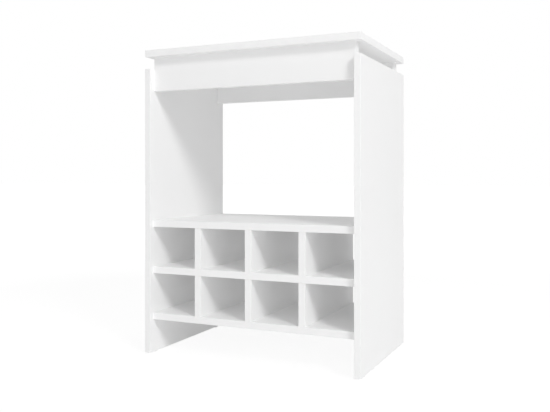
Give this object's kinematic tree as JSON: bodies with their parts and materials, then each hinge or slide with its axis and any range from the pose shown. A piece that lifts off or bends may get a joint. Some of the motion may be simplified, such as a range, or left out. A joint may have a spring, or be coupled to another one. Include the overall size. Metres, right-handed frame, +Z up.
{
  "type": "bar counter with bottle rack",
  "caption": "Small white free-standing bar counter of flat boards: plain side panels, a raised top on two rails, an open bay and a low rack of bottle niches open front and back.",
  "frame": {"origin": "middle of the footprint, on the floor", "axes": "+Z up, +X to the right across the width seen from the front, front towards -Y"},
  "size_m": [0.6, 0.4, 0.81],
  "materials": {
    "white_board": "white melamine-faced chipboard with matching edge bands, satin",
    "bolt_steel": "bright zinc-plated steel",
    "cam_zinc": "die-cast zinc, plain",
    "dowel_beech": "fluted beech, raw",
    "glide_plastic": "white moulded plastic"
  },
  "bodies": {
    "root": {"left_side_panel": "white_board", "right_side_panel": "white_board", "counter_top": "white_board", "front_rail": "white_board", "back_rail": "white_board", "rack_bottom_shelf": "white_board", "rack_middle_shelf": "white_board", "rack_top_shelf": "white_board", "lower_divider_left": "white_board", "lower_divider_centre": "white_board", "lower_divider_right": "white_board", "upper_divider_left": "white_board", "upper_divider_centre": "white_board", "upper_divider_right": "white_board", "rack_bottom_shelf_bolt_left_front": "bolt_steel", "rack_bottom_shelf_bolt_left_back": "bolt_steel", "rack_bottom_shelf_bolt_right_front": "bolt_steel", "rack_bottom_shelf_bolt_right_back": "bolt_steel", "rack_top_shelf_bolt_left_front": "bolt_steel", "rack_top_shelf_bolt_left_back": "bolt_steel", "rack_top_shelf_bolt_right_front": "bolt_steel", "rack_top_shelf_bolt_right_back": "bolt_steel", "front_rail_end_bolt_left": "bolt_steel", "front_rail_top_bolt_left": "bolt_steel", "front_rail_end_bolt_right": "bolt_steel", "front_rail_top_bolt_right": "bolt_steel", "back_rail_end_bolt_left": "bolt_steel", "back_rail_top_bolt_left": "bolt_steel", "back_rail_end_bolt_right": "bolt_steel", "back_rail_top_bolt_right": "bolt_steel", "rack_bottom_shelf_cam_left_front": "cam_zinc", "rack_bottom_shelf_cam_left_back": "cam_zinc", "rack_bottom_shelf_cam_right_front": "cam_zinc", "rack_bottom_shelf_cam_right_back": "cam_zinc", "rack_top_shelf_cam_left_front": "cam_zinc", "rack_top_shelf_cam_left_back": "cam_zinc", "rack_top_shelf_cam_right_front": "cam_zinc", "rack_top_shelf_cam_right_back": "cam_zinc", "front_rail_end_cam_left": "cam_zinc", "front_rail_top_cam_left": "cam_zinc", "front_rail_end_cam_right": "cam_zinc", "front_rail_top_cam_right": "cam_zinc", "back_rail_end_cam_left": "cam_zinc", "back_rail_top_cam_left": "cam_zinc", "back_rail_end_cam_right": "cam_zinc", "back_rail_top_cam_right": "cam_zinc", "rack_middle_shelf_dowel_left_front": "dowel_beech", "rack_middle_shelf_dowel_left_back": "dowel_beech", "rack_middle_shelf_dowel_right_front": "dowel_beech", "rack_middle_shelf_dowel_right_back": "dowel_beech", "front_rail_dowel_left": "dowel_beech", "front_rail_dowel_right": "dowel_beech", "back_rail_dowel_left": "dowel_beech", "back_rail_dowel_right": "dowel_beech", "glide_left_front": "glide_plastic", "glide_left_back": "glide_plastic", "glide_right_front": "glide_plastic", "glide_right_back": "glide_plastic"}
  },
  "joints": []
}
